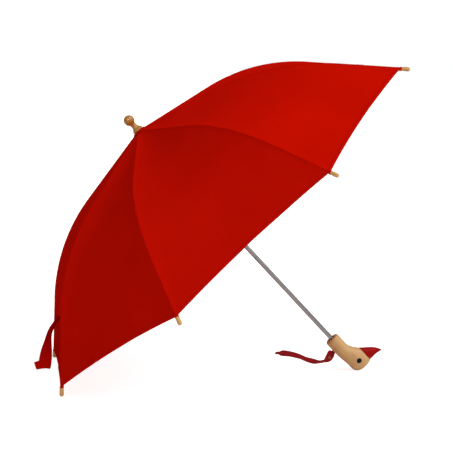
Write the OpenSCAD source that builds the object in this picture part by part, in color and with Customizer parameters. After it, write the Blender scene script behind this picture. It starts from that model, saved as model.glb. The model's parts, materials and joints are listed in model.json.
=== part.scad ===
// Stick umbrella, open, resting on two rib tips and on the crown of its duck-head handle.
// Units are millimetres. Row frame: +Z up with the floor at z = 0, the shaft in the XZ plane,
// handle towards +X, canopy towards -X. The origin is where the crown of the handle meets the floor.
// Every sub-part is drawn in the umbrella's own frame (z along the shaft towards the finial,
// z = 0 at the apex of the cloth, x towards the side that faces up) and then laid down by place().

/* [Canopy] */
// distance from the shaft axis to each corner of the cloth
canopy_r = 480; // [380:5:620]
// height of the apex above the corners
canopy_drop = 235.6; // [150:1:320]
// slope of the ribs at the crown, in degrees below square to the shaft
slope_top = 12; // [8:0.5:16]
// slope of the ribs at the hem
slope_hem = 44; // [40:0.5:50]
// radius of the bent stretch between the two straight ones
bend_r = 440; // [380:5:500]
// thickness of a cloth gore
cloth_t = 0.3; // [0.2:0.1:1.0]
// gap between neighbouring gores along a rib, which the seam closes
seam_gap = 0.3; // [0.1:0.1:1]

/* [Shaft] */
// outside diameter of the steel tube
tube_d = 9; // [8:0.5:12]
// wall of the tube
tube_wall = 0.5; // [0.4:0.1:1]
// distance from the apex of the cloth to the top of the handle
shaft_l = 582.5; // [500:5:700]
// length of tube glued into the handle
tube_in = 46; // [30:1:50]
// width of the rolled guide groove along the tube
groove_w = 2.0; // [1:0.1:3]
// depth of the guide groove; less than the wall
groove_d = 0.3; // [0.1:0.1:0.4]

/* [Frame] */
// distance of the hinge wires from the shaft axis
wire_pitch = 8; // [7:0.5:10]
// diameter of the hinge wires
wire_d = 1.2; // [1:0.1:1.6]
// depth of the rib hinge below the apex of the cloth
notch_z = 5.5; // [5:0.5:9]
// distance of a rib's centre line below the cloth
rib_drop = 2.6; // [2.4:0.1:4]
// width of a rib channel
rib_w = 3.2; // [2.6:0.1:4]
// height of a rib channel
rib_h = 2.6; // [2:0.1:3.4]
// width of a stretcher channel
str_w = 2.2; // [2:0.1:3]
// height of a stretcher channel
str_h = 2.2; // [2:0.1:3]
// distance of the stretcher rivet below the rib
str_drop = 6; // [5:0.5:9]
// place of the stretcher rivet, as the angle along the bend
str_at = 22.5; // [18:0.5:26]
// place of the mid-rib joint, as the angle along the bend
flex_at = 24.7; // [24.5:0.1:34]
// angle between a folded rib and the shaft
fold_angle = 0.6; // [0.3:0.1:3]

/* [Runner] */
// length of the runner below its hinge wire
runner_l = 40; // [30:1:44]
// outside diameter of the runner sleeve
runner_d = 13.2; // [12:0.2:16]

/* [Handle] */
// diameter of the neck
neck_d = 30; // [26:0.2:34]
// distance from the top of the neck to the centre of the head
head_u = 75; // [60:0.5:85]
// offset of the head towards the beak
head_v = 7.3; // [0:0.5:12]
// radius of the head
head_r = 18.1; // [14:0.5:22]
// radius of the flat that carries the beak
beak_r = 16.1; // [12:0.2:18]
// distance of that flat from the shaft axis
beak_v = 28.5; // [26:0.5:30]
// distance of the tip of the beak from the shaft axis
beak_tip = 60; // [50:0.5:64]

/* [Finial and tips] */
// length of the finial
finial_l = 37; // [34:0.5:45]
// diameter of the ball on the finial
ball_d = 21.5; // [18:0.5:24]
// diameter of the finial where it stands on the cloth
flange_d = 23; // [20:0.5:26]
// diameter of the finial at its waist
waist_d = 11.6; // [9:0.2:14]
// diameter of the wooden rib tips
tip_d = 8.4; // [6:0.2:10]
// length of a rib tip beyond the cloth
tip_l = 17; // [12:0.5:22]

/* [Straps] */
// width of the wrist strap
strap_w = 9.5; // [8:0.5:12]
// width of the closing strap
tie_w = 20; // [16:1:26]
// length of the closing strap
tie_l = 96; // [80:1:120]

/* [Hidden] */
$fn = 48;
tube_r = tube_d / 2;
bore_r = tube_r - tube_wall;
wire_r = wire_d / 2;
// the top of the tube, and the finial that stands just above it on its stud
tube_top = 1.2;
finial_z = tube_top + 0.1;
flange_r = flange_d / 2;
waist_r = waist_d / 2;
ball_z = finial_z + finial_l - ball_d / 2;
stud_r = 2.4;
stud_low = -17;
stud_top = 17.2;
// the rib's line: straight, bend, straight. end1 and end2 are the lengths of the straight stretches of cloth
bx = bend_r * (sin(slope_hem) - sin(slope_top));
by = bend_r * (cos(slope_top) - cos(slope_hem));
det = cos(slope_top) * sin(slope_hem) - cos(slope_hem) * sin(slope_top);
rx = canopy_r - bx;
ry = canopy_drop - by;
end1 = (rx * sin(slope_hem) - ry * cos(slope_hem)) / det;
end2 = (ry * cos(slope_top) - rx * sin(slope_top)) / det;
// centre of the bend, as [distance from the axis, height]
cen = [end1 * cos(slope_top) - bend_r * sin(slope_top),
       -end1 * sin(slope_top) - bend_r * cos(slope_top)];
rib_r = bend_r - rib_drop;
// the rib hinge, the stretcher rivet and the mid-rib joint
hn = [wire_pitch, -notch_z];
hp = [cen[0] + (rib_r - str_drop) * sin(str_at), cen[1] + (rib_r - str_drop) * cos(str_at)];
hf = [cen[0] + rib_r * sin(flex_at), cen[1] + rib_r * cos(flex_at)];
dn = hn - cen;
start_a = atan2(dn[0], dn[1]) + acos(rib_r / norm(dn));
start_l = sqrt(norm(dn) * norm(dn) - rib_r * rib_r);
link = norm(hp - hn);
phi = atan2(hp[0] - hn[0], hn[1] - hp[1]);
// height of the runner's hinge wire, open and closed
run_z = hn[1] - 2 * link * cos(phi);
shut_z = hn[1] - 2 * link * cos(fold_angle);
// the centre of the round end of a rib tip
tip_in = tip_l - tip_d / 2;
tip_c = [canopy_r + tip_in * cos(slope_hem) - rib_drop * sin(slope_hem),
         -canopy_drop - tip_in * sin(slope_hem) - rib_drop * cos(slope_hem)];
// the tilt that sets two rib tips and the crown of the handle on one floor
ca = head_v + tip_c[0] * cos(22.5);
cb = shaft_l + head_u + tip_c[1];
cc = head_r - tip_d / 2;
tilt = acos(cc / sqrt(ca * ca + cb * cb)) - atan2(cb, ca);
// the carved details, as distances below the top of the neck (u), towards the beak (v) and across (in)
beak_u = head_u - 1.5;
eye_u = head_u - 4.4;
eye_v = head_v + 3;
eye_in = 13.5;
eye_r = 4.4;
strap_u = 20;
pin_u = 30;
pin_r = 1.5;
nib_r = 2.6;
// where the head's centre lies after the tilt, before it is set on the floor
head_x = head_v * sin(tilt) + (shaft_l + head_u) * cos(tilt);
head_z = head_v * cos(tilt) - (shaft_l + head_u) * sin(tilt);
rib_a = [for (k = [0:7]) 337.5 - 45 * k];
tie_x = -640;
top_catch_z = run_z - runner_l - 0.4;
low_catch_z = shut_z - 17;
steel = [0.72, 0.72, 0.73];
dark = [0.16, 0.16, 0.17];
beech = [0.82, 0.66, 0.44];
amber = [0.76, 0.55, 0.30];
red = [0.62, 0.04, 0.02];

// lays the umbrella down from its own frame into the row frame
module place() {
    translate([-head_x, 0, head_r - head_z]) rotate([0, tilt - 90, 0]) children();
}
// the plane of a rib: x away from the shaft, y along the shaft, z across the rib
module rib_plane(a) { place() rotate([0, 0, a]) rotate([90, 0, 0]) children(); }
module slab(w) { translate([0, 0, -w / 2]) linear_extrude(w) children(); }

// a U channel's section, open on the side away from the cloth; x is height above the centre line
module channel(w, h, t) {
    polygon([[h / 2, -w / 2], [h / 2, w / 2], [-h / 2, w / 2], [-h / 2, w / 2 - t], [h / 2 - t, w / 2 - t],
             [h / 2 - t, t - w / 2], [-h / 2, t - w / 2], [-h / 2, -w / 2]]);
}
// a straight channel from p, at angle a below level, from l0 to l1 along it
module run(p, a, l0, l1, w, h, t) {
    translate(p) rotate([0, 0, -a]) translate([l0, 0, 0]) rotate([90, 0, 90])
        linear_extrude(l1 - l0) channel(w, h, t);
}
// a channel bent about the centre of the bend, from angle a0 to a1
module bend(a0, a1, w, h, t) {
    translate(cen) rotate([0, 0, 90 - a1]) rotate_extrude(angle = a1 - a0, $fn = 180)
        translate([rib_r, 0]) channel(w, h, t);
}
// a flat link with a round end at p, running at angle a below level
module link_end(p, a, l, r) {
    translate(p) { circle(r); rotate([0, 0, -a]) translate([0, -r]) square([l, 2 * r]); }
}
module rivet(p, r, w) { translate([p[0], p[1], -w / 2]) cylinder(h = w, r = r); }
// the eight-sided hinge wire, centred on height z
module wire_ring(z, r) {
    half = wire_pitch * tan(22.5);
    for (a = rib_a) rotate([0, 0, a]) translate([wire_pitch, 0, z]) {
        rotate([90, 0, 0]) translate([0, 0, -half]) cylinder(h = 2 * half, r = r);
        translate([0, half, 0]) sphere(r);
    }
}
// the round groove that a hinge wire lies in
module wire_groove(z) {
    translate([0, 0, z - wire_r - 0.05]) difference() {
        cylinder(h = wire_d + 0.1, r = wire_pitch / cos(22.5) + wire_r + 0.1);
        translate([0, 0, -1]) cylinder(h = 6, r = wire_pitch - wire_r - 0.1);
    }
}
// eight radial slots for the link ends
module slots(z, w) {
    for (a = rib_a) rotate([0, 0, a]) translate([wire_pitch - 1.95, -w / 2, z - 20]) cube([20, w, 40]);
}

// ---- shaft ----
module shaft_tube() color(steel) place() difference() {
    translate([0, 0, -shaft_l - tube_in]) cylinder(h = shaft_l + tube_in + tube_top, r = tube_r);
    translate([0, 0, -shaft_l - tube_in - 1]) cylinder(h = shaft_l + tube_in + 3, r = bore_r);
    for (z = [top_catch_z, low_catch_z]) translate([0, 2, z - 15]) translate([-1.1, 0, 0]) cube([2.2, 4, 16]);
    translate([0, 0, run_z + 6.2]) rotate([0, 90, 0]) cylinder(h = 20, r = 1, center = true);
    translate([0, 0, -shaft_l - pin_u]) rotate([90, 0, 0]) cylinder(h = 20, r = pin_r, center = true);
    // the guide groove, from just above the handle to a hand's width below the stretchers
    rotate([0, 0, -35]) translate([tube_r - groove_d, -groove_w / 2, 14 - shaft_l])
        cube([2, groove_w, shaft_l - 190]);
}
module finial_stud() color(steel) place() {
    translate([0, 0, stud_low]) cylinder(h = tube_top - stud_low, r = bore_r);
    translate([0, 0, tube_top]) cylinder(h = stud_top - tube_top, r = stud_r);
}
module finial() color(amber) place() difference() {
    union() {
        rotate_extrude() polygon([[0, finial_z], [flange_r - 0.6, finial_z], [flange_r, finial_z + 0.7],
            [flange_r, finial_z + 1.6], [flange_r - 1.6, finial_z + 3.2], [waist_r + 1.6, finial_z + 6],
            [waist_r + 0.4, finial_z + 8.6], [waist_r, finial_z + 11.4], [waist_r + 0.4, finial_z + 14],
            [waist_r + 1.7, ball_z - ball_d / 4], [0, ball_z]]);
        translate([0, 0, ball_z]) sphere(d = ball_d);
    }
    translate([0, 0, -1]) cylinder(h = stud_top + 1.1, r = stud_r);
}
module crown_cap() color(red) place() rotate_extrude()
    polygon([[4.6, -0.6], [14, -2.5], [14.3, -2.1], [14, -1.6], [9, 0.2], [4.6, 1.2]]);
module top_notch() color(dark) place() difference() {
    translate([0, 0, -notch_z - 3.4]) cylinder(h = 5.8, r = 11);
    translate([0, 0, -30]) cylinder(h = 40, r = tube_r);
    slots(-notch_z, 2.6);
    wire_groove(-notch_z);
}
module notch_wire() color(steel) place() wire_ring(-notch_z, wire_r);
module runner_stop() color(steel) place() translate([0, 0, run_z + 6.2]) rotate([0, 90, 0])
    cylinder(h = 13, r = 1, center = true);
// a spring strip inside the tube with a tab that stands out through its slot
module catch(z) color(steel) place() rotate([0, 0, 90]) rotate([90, 0, 0]) slab(1.6)
    polygon([[2.2, z - 24], [3, z - 24], [3, z - 14.4], [7, z], [3, z], [3, z + 6], [2.2, z + 6]]);
module top_catch() catch(top_catch_z);
module low_catch() catch(low_catch_z);

// ---- runner ----
module runner() color(dark) place() translate([0, 0, run_z]) difference() {
    union() {
        translate([0, 0, -runner_l]) cylinder(h = runner_l + 3.2, d = runner_d);
        translate([0, 0, -3.2]) cylinder(h = 6.4, r = 11);
        translate([0, 0, -runner_l]) cylinder(h = 2.4, r = 7.3);
    }
    translate([0, 0, -runner_l - 1]) cylinder(h = runner_l + 10, r = tube_r + 0.08);
    slots(0, 2.6);
    wire_groove(0);
    translate([-1.5, 3, -34]) cube([3, 6, 19]);
}
module runner_wire() color(steel) place() translate([0, 0, run_z]) wire_ring(0, wire_r);

// ---- ribs ----
module inner_rib(a) color(steel) rib_plane(a) {
    difference() {
        union() {
            slab(2) link_end(hn, start_a, 7, 1.3);
            run(hn, start_a, 5.6, start_l, rib_w, rib_h, 0.5);
            bend(start_a, flex_at - 0.55, rib_w, rib_h, 0.5);
            slab(2) link_end(hf, flex_at + 180, 7, 1.3);
            for (s = [-1.4, 1.4]) translate([0, 0, s]) slab(0.4) bracket();
        }
        rivet(hn, wire_r + 0.05, 10);
        rivet(hf, 0.75, 10);
    }
    rivet(hp, 0.7, 3.8);
}
module bracket() {
    u = [cos(str_at), -sin(str_at)];
    c = cen + (rib_r - 0.4) * [sin(str_at), cos(str_at)];
    translate(hp) circle(1.8);
    polygon([hp - 1.8 * u, c - 4 * u, c + 4 * u, hp + 1.8 * u]);
}
module outer_rib(a) color(steel) rib_plane(a) {
    for (s = [-1.4, 1.4]) translate([0, 0, s]) slab(0.4) link_end(hf, flex_at, 6.4, 1.3);
    rivet(hf, 0.7, 3.8);
    bend(flex_at + 0.5, slope_hem, rib_w, rib_h, 0.5);
    run(cen + rib_r * [sin(slope_hem), cos(slope_hem)], slope_hem, 0, end2 + 9.5, rib_w, rib_h, 0.5);
}
module stretcher(a) color(steel) rib_plane(a) {
    q = [wire_pitch, run_z];
    down = atan2(hp[1] - q[1], hp[0] - q[0]);
    difference() {
        union() {
            slab(2) link_end(q, -down, 8, 1.3);
            run(q, -down, 6.4, link - 6.4, str_w, str_h, 0.4);
            slab(2) link_end(hp, 180 - down, 8, 1.3);
        }
        rivet(q, wire_r + 0.05, 10);
        rivet(hp, 0.75, 10);
    }
}
module rib_tip(a) color(beech) rib_plane(a) {
    base = [canopy_r, -canopy_drop] - rib_drop * [sin(slope_hem), cos(slope_hem)];
    translate(base) rotate([0, 0, -slope_hem]) rotate([0, 90, 0]) difference() {
        union() {
            translate([0, 0, 0.3]) cylinder(h = tip_in - 0.3, r1 = tip_d * 0.42, r2 = tip_d / 2);
            translate([0, 0, tip_in]) sphere(d = tip_d);
        }
        translate([0, 0, -1]) cylinder(h = 11, r = 2.1);
    }
}

// ---- cloth ----
// the cloth's line above a rib, as [distance from the axis, height, slope]; off is the distance above it
bend_n = 12;
function line_pt(f, off) = [f[0] + off * sin(f[2]), f[1] + off * cos(f[2])];
cloth_line = concat(
    [[6.2, -6.2 * tan(slope_top), slope_top]],
    [for (i = [0:bend_n]) let (t = slope_top + (slope_hem - slope_top) * i / bend_n)
        [cen[0] + bend_r * sin(t), cen[1] + bend_r * cos(t), t]],
    [[canopy_r, -canopy_drop, slope_hem]]);
// the panel between the rib at azimuth a and the next one; its chords run straight from rib to rib
module canopy_gore(a) color(red) place() rotate([0, 0, a - 22.5]) {
    c = cos(22.5);
    n = len(cloth_line);
    intersection() {
        rotate([90, 0, 0]) translate([0, 0, -220]) linear_extrude(440) polygon(concat(
            [for (i = [0:n - 1]) let (p = line_pt(cloth_line[i], cloth_t / 2)) [p[0] * c, p[1]]],
            [for (i = [n - 1:-1:0]) let (p = line_pt(cloth_line[i], -cloth_t / 2)) [p[0] * c, p[1]]]));
        translate([seam_gap / 2 / sin(22.5), 0, -400]) linear_extrude(420)
            polygon([[0, 0], [600, -600 * tan(22.5)], [600, 600 * tan(22.5)]]);
    }
}

// ---- handle ----
module at_handle(u, v) { place() translate([v, 0, -shaft_l - u]) children(); }
module handle() color(beech) difference() {
    union() {
        at_handle(0, 0) rotate_extrude() polygon(concat([[0, 0]],
            [for (i = [0:6]) [neck_d / 2 - 3.5 + 3.5 * sin(15 * i), -3.5 + 3.5 * cos(15 * i)]],
            [[neck_d / 2, -34], [0, -34]]));
        hull() {
            at_handle(33, 0) cylinder(h = 3, r = neck_d / 2 - 0.3);
            at_handle(head_u, head_v) sphere(head_r);
        }
        hull() {
            at_handle(head_u, head_v) sphere(head_r);
            at_handle(beak_u, beak_v - 2) rotate([0, 90, 0]) cylinder(h = 2, r = beak_r);
        }
    }
    at_handle(head_u, beak_v) translate([0, -30, -30]) cube([30, 60, 60]);
    at_handle(tube_in, 0) cylinder(h = tube_in + 5, r = tube_r);
    at_handle(4.5, 0) cylinder(h = 10, r = 6.2);
    at_handle(pin_u, 0) translate([0, -9, 0]) rotate([-90, 0, 0]) cylinder(h = 30, r = pin_r);
    at_handle(eye_u, eye_v) for (s = [-1, 1]) rotate([90 * s, 0, 0])
        translate([0, 0, eye_in]) cylinder(h = 10, r = eye_r);
    at_handle(strap_u, 0) rotate([0, -90, 0]) translate([0, 0, 8]) cylinder(h = 12, r = 2.4);
}
module beak() color(red) hull() {
    at_handle(beak_u, beak_v + 0.02) rotate([0, 90, 0]) cylinder(h = 1, r = beak_r - 0.2);
    at_handle(beak_u + 8, beak_v + 14) scale([1, 1.25, 1]) sphere(9);
    at_handle(beak_u + 17, beak_tip - nib_r) scale([1, 2.4, 1]) sphere(nib_r);
}
module eyes() color([0.02, 0.02, 0.02]) at_handle(eye_u, eye_v) for (s = [-1, 1])
    rotate([90 * s, 0, 0]) intersection() {
        translate([0, 0, eye_in]) cylinder(h = 6, r = eye_r);
        translate([0, 0, eye_in - 2.7]) sphere(7.6);
    }
module neck_collar() color(dark) at_handle(4.5, 0) difference() {
    cylinder(h = 5.1, r = 6.2);
    translate([0, 0, -1]) cylinder(h = 8, r = tube_r);
}
module handle_pin() color(steel) at_handle(pin_u, 0) translate([0, -9, 0]) rotate([-90, 0, 0])
    cylinder(h = 23, r = pin_r);

// ---- straps ----
function bez(p, t) =
    pow(1 - t, 3) * p[0] + 3 * pow(1 - t, 2) * t * p[1] + 3 * (1 - t) * t * t * p[2] + pow(t, 3) * p[3];
function tan_of(p, t) = let (d = bez(p, t + 0.01) - bez(p, t - 0.01)) d / norm(d);
strap_a = [[-56, 41], [-57, 31], [-62, 20], [-80, 19]];
strap_b = [[-80, 19], [-104, 18], [-128, 40], [-172, 39]];
eyelet = [-57.6, 0, 33];
strap_pts = concat([for (i = [0:9]) [bez(strap_a, i / 10), tan_of(strap_a, i / 10)]],
                   [for (i = [0:14]) [bez(strap_b, i / 14), tan_of(strap_b, i / 14)]]);
module band(i0, w) {
    n = len(strap_pts) - 1;
    polygon(concat([for (i = [i0:n]) strap_pts[i][0] + w * [-strap_pts[i][1][1], strap_pts[i][1][0]]],
        [for (i = [n:-1:i0]) strap_pts[i][0] - w * [-strap_pts[i][1][1], strap_pts[i][1][0]]]));
}
module wrist_strap() color(red) {
    difference() {
        union() {
            for (y = [1.3, -0.4]) translate([0, y, 0]) rotate([90, 0, 0])
                linear_extrude(0.9) band(0, strap_w / 2);
            translate([0, 0.5, 0]) rotate([90, 0, 0]) linear_extrude(1.0) band(23, strap_w / 2);
            translate([0, 0.5, 0]) rotate([90, 0, 0]) linear_extrude(1.0)
                polygon([for (q = [0, 1, 2, 3]) strap_a[0] + 3 * [cos(90 * q + 45), sin(90 * q + 45)]]);
        }
        translate(eyelet) rotate([90, 0, 0]) cylinder(h = 10, r = 1.6, center = true);
    }
    at_handle(strap_u, 0) rotate([0, -90, 0]) translate([0, 0, 8.5]) cylinder(h = 9, r = 2.3);
}
module strap_eyelet() color([0.45, 0.30, 0.16]) translate(eyelet) rotate([90, 0, 0]) difference() {
    union() {
        cylinder(h = 3, r = 1.6, center = true);
        for (s = [-1, 1]) translate([0, 0, s * 1.55]) cylinder(h = 0.5, r = 3, center = true);
    }
    cylinder(h = 10, r = 0.9, center = true);
}
module tie_strap() color(red) translate([tie_x, 0, 18]) linear_extrude(tie_l) translate([-0.5, -tie_w / 2])
    square([1, tie_w]);
module tie_snap() color(steel) translate([tie_x - 0.5, 0, 30]) rotate([0, -90, 0]) cylinder(h = 1.6, r = 5);

shaft_tube();
finial();
finial_stud();
crown_cap();
top_notch();
notch_wire();
runner_stop();
runner();
runner_wire();
top_catch();
low_catch();
neck_collar();
handle_pin();
handle();
beak();
eyes();
strap_eyelet();
wrist_strap();
tie_strap();
tie_snap();
inner_rib(rib_a[0]);  // inner_rib_1
inner_rib(rib_a[1]);  // inner_rib_2
inner_rib(rib_a[2]);  // inner_rib_3
inner_rib(rib_a[3]);  // inner_rib_4
inner_rib(rib_a[4]);  // inner_rib_5
inner_rib(rib_a[5]);  // inner_rib_6
inner_rib(rib_a[6]);  // inner_rib_7
inner_rib(rib_a[7]);  // inner_rib_8
outer_rib(rib_a[0]);  // outer_rib_1
outer_rib(rib_a[1]);  // outer_rib_2
outer_rib(rib_a[2]);  // outer_rib_3
outer_rib(rib_a[3]);  // outer_rib_4
outer_rib(rib_a[4]);  // outer_rib_5
outer_rib(rib_a[5]);  // outer_rib_6
outer_rib(rib_a[6]);  // outer_rib_7
outer_rib(rib_a[7]);  // outer_rib_8
stretcher(rib_a[0]);  // stretcher_1
stretcher(rib_a[1]);  // stretcher_2
stretcher(rib_a[2]);  // stretcher_3
stretcher(rib_a[3]);  // stretcher_4
stretcher(rib_a[4]);  // stretcher_5
stretcher(rib_a[5]);  // stretcher_6
stretcher(rib_a[6]);  // stretcher_7
stretcher(rib_a[7]);  // stretcher_8
rib_tip(rib_a[0]);  // rib_tip_1
rib_tip(rib_a[1]);  // rib_tip_2
rib_tip(rib_a[2]);  // rib_tip_3
rib_tip(rib_a[3]);  // rib_tip_4
rib_tip(rib_a[4]);  // rib_tip_5
rib_tip(rib_a[5]);  // rib_tip_6
rib_tip(rib_a[6]);  // rib_tip_7
rib_tip(rib_a[7]);  // rib_tip_8
canopy_gore(rib_a[0]);  // canopy_gore_1
canopy_gore(rib_a[1]);  // canopy_gore_2
canopy_gore(rib_a[2]);  // canopy_gore_3
canopy_gore(rib_a[3]);  // canopy_gore_4
canopy_gore(rib_a[4]);  // canopy_gore_5
canopy_gore(rib_a[5]);  // canopy_gore_6
canopy_gore(rib_a[6]);  // canopy_gore_7
canopy_gore(rib_a[7]);  // canopy_gore_8
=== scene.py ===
"""Open stick umbrella, lying on two rib tips and the crown of its duck-head handle. Metres, row frame."""
import json
import math

import bpy
from mathutils import Matrix, Vector, noise


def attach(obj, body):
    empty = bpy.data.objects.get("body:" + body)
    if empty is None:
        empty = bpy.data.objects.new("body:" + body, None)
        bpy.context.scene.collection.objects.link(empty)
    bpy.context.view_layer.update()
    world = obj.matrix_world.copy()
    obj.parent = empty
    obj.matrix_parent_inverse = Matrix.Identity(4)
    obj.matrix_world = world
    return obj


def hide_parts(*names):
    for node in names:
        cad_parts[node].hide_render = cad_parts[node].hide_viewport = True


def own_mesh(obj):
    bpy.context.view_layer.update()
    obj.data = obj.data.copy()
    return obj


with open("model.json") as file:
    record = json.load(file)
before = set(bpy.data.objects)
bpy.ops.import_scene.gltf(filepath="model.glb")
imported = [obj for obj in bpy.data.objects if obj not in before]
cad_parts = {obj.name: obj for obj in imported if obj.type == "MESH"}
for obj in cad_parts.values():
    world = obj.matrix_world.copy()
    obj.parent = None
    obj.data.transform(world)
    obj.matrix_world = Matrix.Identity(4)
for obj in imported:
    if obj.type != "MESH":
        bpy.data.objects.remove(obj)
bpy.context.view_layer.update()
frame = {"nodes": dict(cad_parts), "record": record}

# ---- driving dimensions, as in the CAD model ----
CANOPY_R = 0.480            # from the shaft axis to each corner of the cloth
CANOPY_DROP = 0.2356        # from the apex down to the corners
SLOPE_TOP = math.radians(12)
SLOPE_HEM = math.radians(44)
BEND_R = 0.440              # radius of the bent stretch of a rib
RIB_DROP = 0.0026           # from the cloth down to a rib's centre line
FLEX_AT = math.radians(24.7)  # slope of the cloth over the joint in a rib
CROWN_R = 0.0062            # radius of the hole in the cloth at the crown
SHAFT_L = 0.5825            # from the apex down to the top of the handle
TIP_L = 0.017               # length of a wooden rib tip
FINIAL_TOP = 0.0383         # height of the top of the finial above the apex
RIBS = range(1, 9)
HALF = math.radians(22.5)   # half the angle of one panel

# ---- the umbrella's own frame ----
# z runs along the shaft to the finial, from 0 at the apex of the cloth, and x points to the upper side
mounts = {m["name"]: m for m in frame["record"]["mounts"]}
UP = -Vector(mounts["grip_neck"]["axis"]).normalized()
ACROSS = Vector((0, 1, 0))
SIDE = ACROSS.cross(UP)
APEX = Vector(mounts["finial_tip"]["pos_m"]) - FINIAL_TOP * UP
OWN = Matrix((SIDE, ACROSS, UP)).transposed().to_4x4()
OWN.translation = APEX
TILT = math.atan2(SIDE.x, SIDE.z)


def at(x, y, z):
    """A point of the umbrella's own frame, in the row frame."""
    return OWN @ Vector((x, y, z))


def at_point(p):
    """The same for a vector."""
    return OWN @ p


def handle_at(u, v, y=0.0):
    """A point of the handle: u below the top of the neck, v towards the beak, y across."""
    return at(v, y, -SHAFT_L - u)


def rib_azimuth(k):
    """Angle of rib k round the shaft."""
    return math.radians(337.5 - 45 * (k - 1))


def smooth(x):
    """A soft step from 0 to 1."""
    x = min(max(x, 0.0), 1.0)
    return x * x * (3 - 2 * x)


def new_object(name, data):
    """An object, linked to the scene."""
    obj = bpy.data.objects.new(name, data)
    bpy.context.scene.collection.objects.link(obj)
    return obj


# ---- camera ----
CAMERA_AT = Vector((-0.73129, -3.08769, 0.65902))
CAMERA_AIM = Vector((-0.23946, 0.25402, 0.27035))
CAMERA_ROLL = math.radians(0.66)
CAMERA_LENS = 123.9
camera_data = bpy.data.cameras.new("camera")
camera_data.sensor_width = 36
camera_data.lens = CAMERA_LENS
camera = new_object("camera", camera_data)
camera.location = CAMERA_AT
turn = (CAMERA_AIM - CAMERA_AT).to_track_quat("-Z", "Y").to_matrix().to_4x4()
camera.rotation_euler = (turn @ Matrix.Rotation(CAMERA_ROLL, 4, "Z")).to_euler()
bpy.context.scene.camera = camera
bpy.context.scene.view_settings.view_transform = "Standard"


# ---- mesh helpers ----
def add_piece(name, points, faces, finish, body):
    """A smooth-shaded mesh that moves with a body."""
    mesh = bpy.data.meshes.new(name)
    mesh.from_pydata([tuple(p) for p in points], [], faces)
    mesh.validate()
    mesh.update()
    mesh.polygons.foreach_set("use_smooth", [True] * len(mesh.polygons))
    obj = new_object(name, mesh)
    mesh.materials.append(finish)
    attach(obj, body)
    return obj


def mark_panel(obj, marks):
    """Stores each point's place across and along the weave."""
    attribute = obj.data.attributes.new("panel", "FLOAT_VECTOR", "POINT")
    attribute.data.foreach_set("vector", [x for m in marks for x in m])


def sharpen(obj, degrees):
    """Keeps edges sharper than this crisp in the shading."""
    obj.data.set_sharp_from_angle(angle=math.radians(degrees))


def tube_faces(rings, sides):
    """Quads between rings of points, with both ends closed by a face."""
    faces = []
    for i in range(rings - 1):
        for j in range(sides):
            a, b = i * sides + j, i * sides + (j + 1) % sides
            faces.append((a, b, b + sides, a + sides))
    faces.append(tuple(range(sides - 1, -1, -1)))
    faces.append(tuple(range((rings - 1) * sides, rings * sides)))
    return faces


def loop_faces(rings, sides):
    """Quads between rings of points, with the last ring joined to the first."""
    faces = []
    for i in range(rings):
        for j in range(sides):
            here, ahead = i * sides, (i + 1) % rings * sides
            side = (j + 1) % sides
            faces.append((here + j, here + side, ahead + side, ahead + j))
    return faces


def ring_points(outline, place, sides):
    """Rings of points round the z axis of a place; outline is a list of (radius, height)."""
    points = []
    for r, z in outline:
        for j in range(sides):
            a = math.tau * j / sides
            points.append(place @ Vector((r * math.cos(a), r * math.sin(a), z)))
    return points


def lathe(name, outline, place, finish, body, sides):
    """A solid of revolution: outline is a list of (radius, height), from the bottom to the top."""
    points = ring_points(outline, place, sides)
    return add_piece(name, points, tube_faces(len(outline), sides), finish, body)


def spline(a, b, c, d, t):
    """The Catmull-Rom curve from b to c."""
    second = (2 * a - 5 * b + 4 * c - d) * t * t
    third = (3 * b - a - 3 * c + d) * t ** 3
    return 0.5 * (2 * b + (c - a) * t + second + third)


def rounded(corners, steps):
    """A smooth curve through the corners of an outline."""
    out = []
    for i in range(len(corners) - 1):
        p0, p1 = corners[max(i - 1, 0)], corners[i]
        p2, p3 = corners[i + 1], corners[min(i + 2, len(corners) - 1)]
        for s in range(steps):
            t = s / steps
            out.append(tuple(spline(a, b, c, d, t) for a, b, c, d in zip(p0, p1, p2, p3)))
    out.append(tuple(corners[-1]))
    return out


# ---- materials ----
def new_material(name, colour, roughness, **inputs):
    m = bpy.data.materials.new(name)
    m.use_nodes = True
    shader = m.node_tree.nodes["Principled BSDF"]
    shader.inputs["Base Color"].default_value = (*colour, 1)
    shader.inputs["Roughness"].default_value = roughness
    for key, value in inputs.items():
        shader.inputs[key.replace("_", " ")].default_value = value
    return m


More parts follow.
